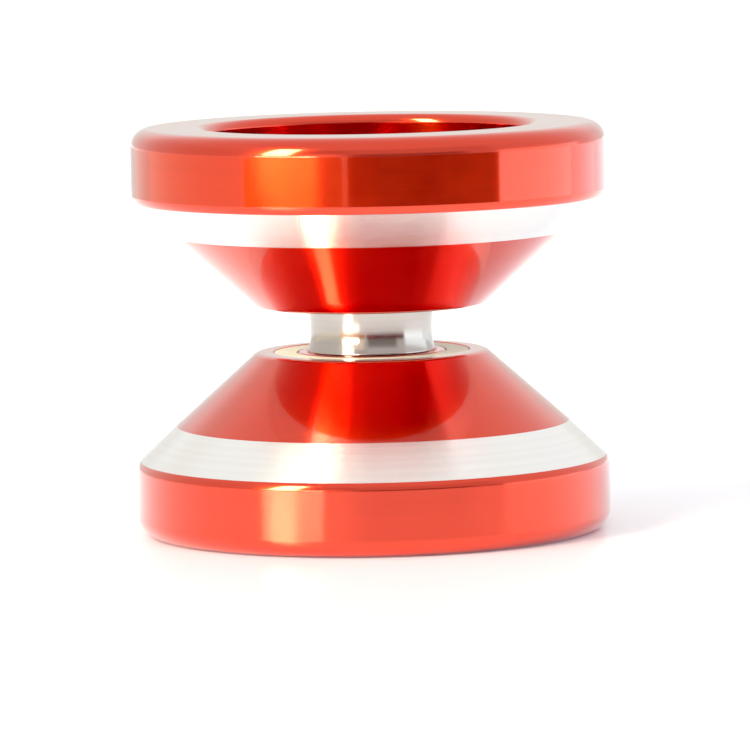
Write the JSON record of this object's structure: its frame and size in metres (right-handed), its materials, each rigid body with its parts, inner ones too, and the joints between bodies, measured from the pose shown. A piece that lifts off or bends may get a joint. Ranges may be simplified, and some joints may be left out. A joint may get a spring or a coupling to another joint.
{
  "type": "yo yo",
  "caption": "V-shaped metal yo yo: two cupped halves on a threaded axle, with response pads and a hollow-waisted ball bearing in the string gap.",
  "frame": {"origin": "middle of the bearing, halfway between the two halves, on the spin axis", "axes": "+Z along the spin axis, up towards the half that unscrews; the yo yo stands on the lip of its lower half"},
  "size_m": [0.0474, 0.0474, 0.0408],
  "materials": {
    "red_anodised": "red anodised, satin gloss; the band between cone and rim is turned back to bare polished metal",
    "silicone": "matte, cream",
    "screw_steel": "plain steel set screw",
    "bearing_steel": "ground",
    "race_steel": "polished",
    "cage_steel": "pressed steel",
    "shield_steel": "pressed steel",
    "ball_steel": "lapped"
  },
  "bodies": {
    "lower_half_and_axle": {"lower_half": "red_anodised", "axle_screw": "screw_steel", "lower_response_pad": "silicone", "bearing_inner_race": "bearing_steel"},
    "upper_pad_carrier": {"upper_response_pad": "silicone"},
    "upper_half_turning": {"upper_half": "red_anodised"},
    "bearing_outer": {"bearing_outer_race": "race_steel", "upper_bearing_shield": "shield_steel", "lower_bearing_shield": "shield_steel", "upper_snap_ring": "shield_steel", "lower_snap_ring": "shield_steel"},
    "ball_cage": {"bearing_cage": "cage_steel"},
    "bearing_ball_01_body": {"bearing_ball_01": "ball_steel"},
    "bearing_ball_02_body": {"bearing_ball_02": "ball_steel"},
    "bearing_ball_03_body": {"bearing_ball_03": "ball_steel"},
    "bearing_ball_04_body": {"bearing_ball_04": "ball_steel"},
    "bearing_ball_05_body": {"bearing_ball_05": "ball_steel"},
    "bearing_ball_06_body": {"bearing_ball_06": "ball_steel"},
    "bearing_ball_07_body": {"bearing_ball_07": "ball_steel"},
    "bearing_ball_08_body": {"bearing_ball_08": "ball_steel"},
    "bearing_ball_09_body": {"bearing_ball_09": "ball_steel"},
    "bearing_ball_10_body": {"bearing_ball_10": "ball_steel"}
  },
  "joints": [
    {"name": "bearing_spin", "type": "hinge", "parent": "lower_half_and_axle", "child": "bearing_outer", "pos_m": [0, 0, 0], "axis": [0, 0, 1], "continuous": true},
    {"name": "upper_half_lift", "type": "slide", "parent": "lower_half_and_axle", "child": "upper_pad_carrier", "axis": [0, 0, 1], "range_m": [0, 0.0084]},
    {"name": "upper_half_unscrew", "type": "hinge", "parent": "upper_pad_carrier", "child": "upper_half_turning", "pos_m": [0, 0, 0], "axis": [0, 0, 1], "range_deg": [0, 4320]},
    {"name": "cage_orbit", "type": "hinge", "parent": "lower_half_and_axle", "child": "ball_cage", "pos_m": [0, 0, 0], "axis": [0, 0, 1], "continuous": true},
    {"name": "bearing_ball_01_roll", "type": "hinge", "parent": "ball_cage", "child": "bearing_ball_01_body", "pos_m": [0.00476, 0, 0], "axis": [0, 0, 1], "continuous": true},
    {"name": "bearing_ball_02_roll", "type": "hinge", "parent": "ball_cage", "child": "bearing_ball_02_body", "pos_m": [0.00385, 0.0028, 0], "axis": [0, 0, 1], "continuous": true},
    {"name": "bearing_ball_03_roll", "type": "hinge", "parent": "ball_cage", "child": "bearing_ball_03_body", "pos_m": [0.00147, 0.00453, 0], "axis": [0, 0, 1], "continuous": true},
    {"name": "bearing_ball_04_roll", "type": "hinge", "parent": "ball_cage", "child": "bearing_ball_04_body", "pos_m": [-0.00147, 0.00453, 0], "axis": [0, 0, 1], "continuous": true},
    {"name": "bearing_ball_05_roll", "type": "hinge", "parent": "ball_cage", "child": "bearing_ball_05_body", "pos_m": [-0.00385, 0.0028, 0], "axis": [0, 0, 1], "continuous": true},
    {"name": "bearing_ball_06_roll", "type": "hinge", "parent": "ball_cage", "child": "bearing_ball_06_body", "pos_m": [-0.00476, 0, 0], "axis": [0, 0, 1], "continuous": true},
    {"name": "bearing_ball_07_roll", "type": "hinge", "parent": "ball_cage", "child": "bearing_ball_07_body", "pos_m": [-0.00385, -0.0028, 0], "axis": [0, 0, 1], "continuous": true},
    {"name": "bearing_ball_08_roll", "type": "hinge", "parent": "ball_cage", "child": "bearing_ball_08_body", "pos_m": [-0.00147, -0.00453, 0], "axis": [0, 0, 1], "continuous": true},
    {"name": "bearing_ball_09_roll", "type": "hinge", "parent": "ball_cage", "child": "bearing_ball_09_body", "pos_m": [0.00147, -0.00453, 0], "axis": [0, 0, 1], "continuous": true},
    {"name": "bearing_ball_10_roll", "type": "hinge", "parent": "ball_cage", "child": "bearing_ball_10_body", "pos_m": [0.00385, -0.0028, 0], "axis": [0, 0, 1], "continuous": true}
  ],
  "couplings": [
    {"joint": "upper_half_unscrew", "follows": "upper_half_lift", "rad_per_m": 8976},
    {"joint": "cage_orbit", "follows": "bearing_spin", "ratio": 0.58333},
    {"joint": "bearing_ball_01_roll", "follows": "bearing_spin", "ratio": 2.9167},
    {"joint": "bearing_ball_02_roll", "follows": "bearing_spin", "ratio": 2.9167},
    {"joint": "bearing_ball_03_roll", "follows": "bearing_spin", "ratio": 2.9167},
    {"joint": "bearing_ball_04_roll", "follows": "bearing_spin", "ratio": 2.9167},
    {"joint": "bearing_ball_05_roll", "follows": "bearing_spin", "ratio": 2.9167},
    {"joint": "bearing_ball_06_roll", "follows": "bearing_spin", "ratio": 2.9167},
    {"joint": "bearing_ball_07_roll", "follows": "bearing_spin", "ratio": 2.9167},
    {"joint": "bearing_ball_08_roll", "follows": "bearing_spin", "ratio": 2.9167},
    {"joint": "bearing_ball_09_roll", "follows": "bearing_spin", "ratio": 2.9167},
    {"joint": "bearing_ball_10_roll", "follows": "bearing_spin", "ratio": 2.9167}
  ]
}
